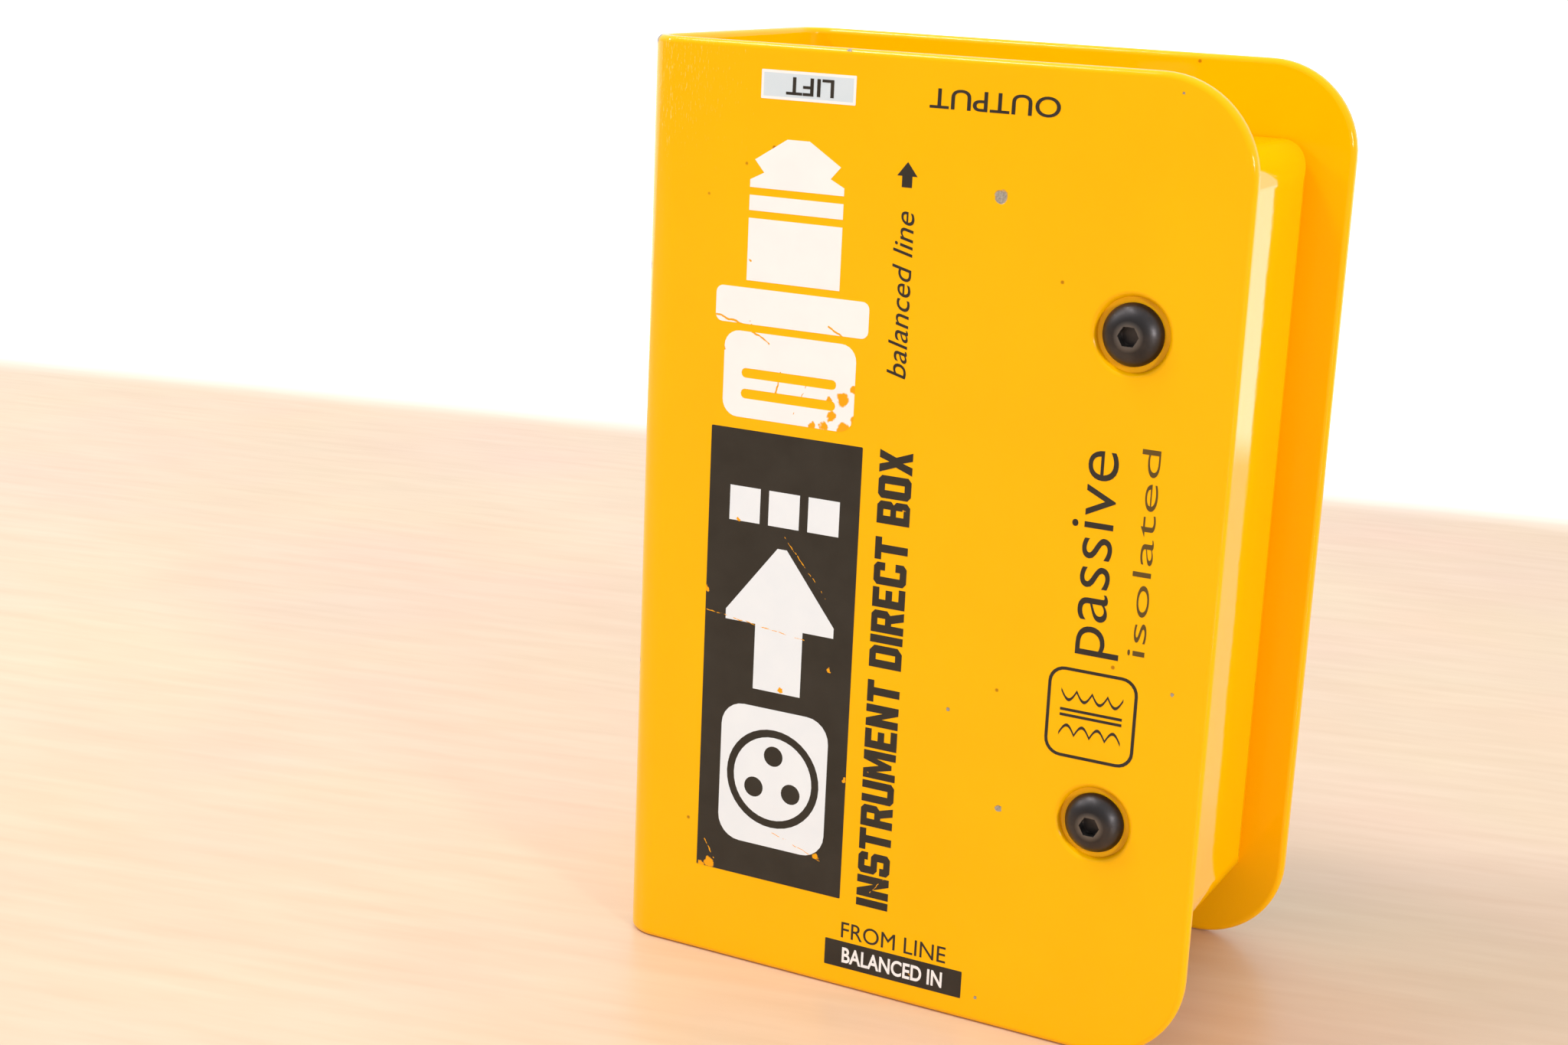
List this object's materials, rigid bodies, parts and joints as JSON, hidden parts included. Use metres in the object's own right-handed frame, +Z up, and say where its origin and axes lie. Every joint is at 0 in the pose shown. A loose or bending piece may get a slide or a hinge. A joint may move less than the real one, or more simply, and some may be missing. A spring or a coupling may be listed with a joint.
{
  "type": "direct injection box",
  "caption": "Folded steel interface box for a balanced guitar signal line: XLR socket at one end, quarter-inch jack and lift push-button at the other, isolating transformer inside.",
  "frame": {"origin": "middle of the bounding box at the standing end, where the cover shell rests", "axes": "+Z up from the socket end to the jack end; +X from the shell spine to its open side; +Y from the front plate to the rear plate with the pad"},
  "size_m": [0.0838, 0.051, 0.127],
  "materials": {
    "acetal": "natural acetal",
    "black_nylon": "glass filled nylon, moulded",
    "black_oxide_steel": "black oxide alloy steel",
    "black_zinc_casting": "black coated zinc die casting",
    "board_green": "glass epoxy board with solder resist",
    "bobbin_nylon": "moulded nylon",
    "button_black": "moulded ABS",
    "capacitor_case": "epoxy filled case",
    "contact_silver": "silver plated brass",
    "lamination_steel": "stacked nickel steel laminations",
    "lead_bare": "PVC sleeve over the screen",
    "lead_blue": "PVC insulation",
    "lead_green": "PVC insulation",
    "lead_white": "PVC insulation",
    "mu_metal": "drawn nickel iron alloy",
    "nickel": "nickel plated",
    "pad_rubber": "closed cell foam rubber, fine skin",
    "phosphor_bronze": "rolled phosphor bronze",
    "resistor_coat": "lacquered metal film resistor",
    "shell_powder_coat": "satin-gloss powder coat on folded 14 gauge steel, screen printed",
    "spring_steel": "music wire",
    "tab_nickel": "nickel plated zinc",
    "tin": "tinned copper alloy",
    "tray_powder_coat": "glossy powder coat on folded steel",
    "winding_copper": "enamelled copper wire",
    "zinc_steel": "bright zinc plated steel"
  },
  "bodies": {
    "housing": {"board_screws": "zinc_steel", "board_standoffs": "zinc_steel", "circuit_board": "board_green", "clinch_nuts": "zinc_steel", "cold_lead": "lead_blue", "earth_lead": "lead_green", "earth_nut": "zinc_steel", "earth_screw": "zinc_steel", "earth_tag": "tin", "earth_washer": "zinc_steel", "film_capacitors": "capacitor_case", "front_cover_screws": "black_oxide_steel", "header_pins": "tin", "hot_lead": "lead_white", "inner_tray": "tray_powder_coat", "jack_bushing": "nickel", "jack_housing": "black_nylon", "jack_lid": "black_nylon", "jack_nut": "nickel", "jack_sleeve_terminal": "tin", "jack_tip_terminal": "tin", "jack_washer": "nickel", "lead_header": "black_nylon", "lift_spring": "spring_steel", "lift_switch_body": "black_nylon", "lift_switch_pins": "tin", "no_slip_pad": "pad_rubber", "outer_shell": "shell_powder_coat", "rear_cover_screws": "black_oxide_steel", "resistors": "resistor_coat", "screen_lead": "lead_bare", "transformer_bobbin": "bobbin_nylon", "transformer_can": "mu_metal", "transformer_core": "lamination_steel", "transformer_pins": "tin", "transformer_winding": "winding_copper", "xlr_contacts": "contact_silver", "xlr_insert": "black_nylon", "xlr_latch_pin": "spring_steel", "xlr_latch_spring": "spring_steel", "xlr_rear_insert": "black_nylon", "xlr_screw_nuts": "zinc_steel", "xlr_screws": "black_oxide_steel", "xlr_shell": "black_zinc_casting"},
    "lift_button": {"lift_button": "button_black", "lift_plunger": "acetal", "lift_contact_bridge": "phosphor_bronze"},
    "push_tab": {"xlr_push_tab": "tab_nickel"},
    "latch_hook": {"xlr_latch_hook": "spring_steel"},
    "tip_spring": {"jack_tip_spring": "phosphor_bronze"}
  },
  "joints": [
    {"name": "lift_press", "type": "slide", "parent": "housing", "child": "lift_button", "axis": [0, 0, -1], "range_m": [0, 0.0025], "stiffness_N_per_m": 600, "springref_m": -0.001, "deforming": ["lift_spring"]},
    {"name": "latch_push", "type": "slide", "parent": "housing", "child": "push_tab", "axis": [0, 0, 1], "range_m": [0, 0.0016], "stiffness_N_per_m": 400, "springref_m": -0.001},
    {"name": "latch_hook_pivot", "type": "hinge", "parent": "housing", "child": "latch_hook", "pos_m": [0.0011, -0.0117, 0.0245], "axis": [-1, 0, 0], "range_deg": [0, 6.9], "deforming": ["xlr_latch_spring"]},
    {"name": "jack_tip_flex", "type": "hinge", "parent": "housing", "child": "tip_spring", "pos_m": [0.01243, -0.0003, 0.1098], "axis": [0, -1, 0], "range_deg": [0, 4], "stiffness_Nm_per_rad": 0.5}
  ],
  "couplings": [
    {"joint": "latch_hook_pivot", "follows": "latch_push", "rad_per_m": 75}
  ]
}
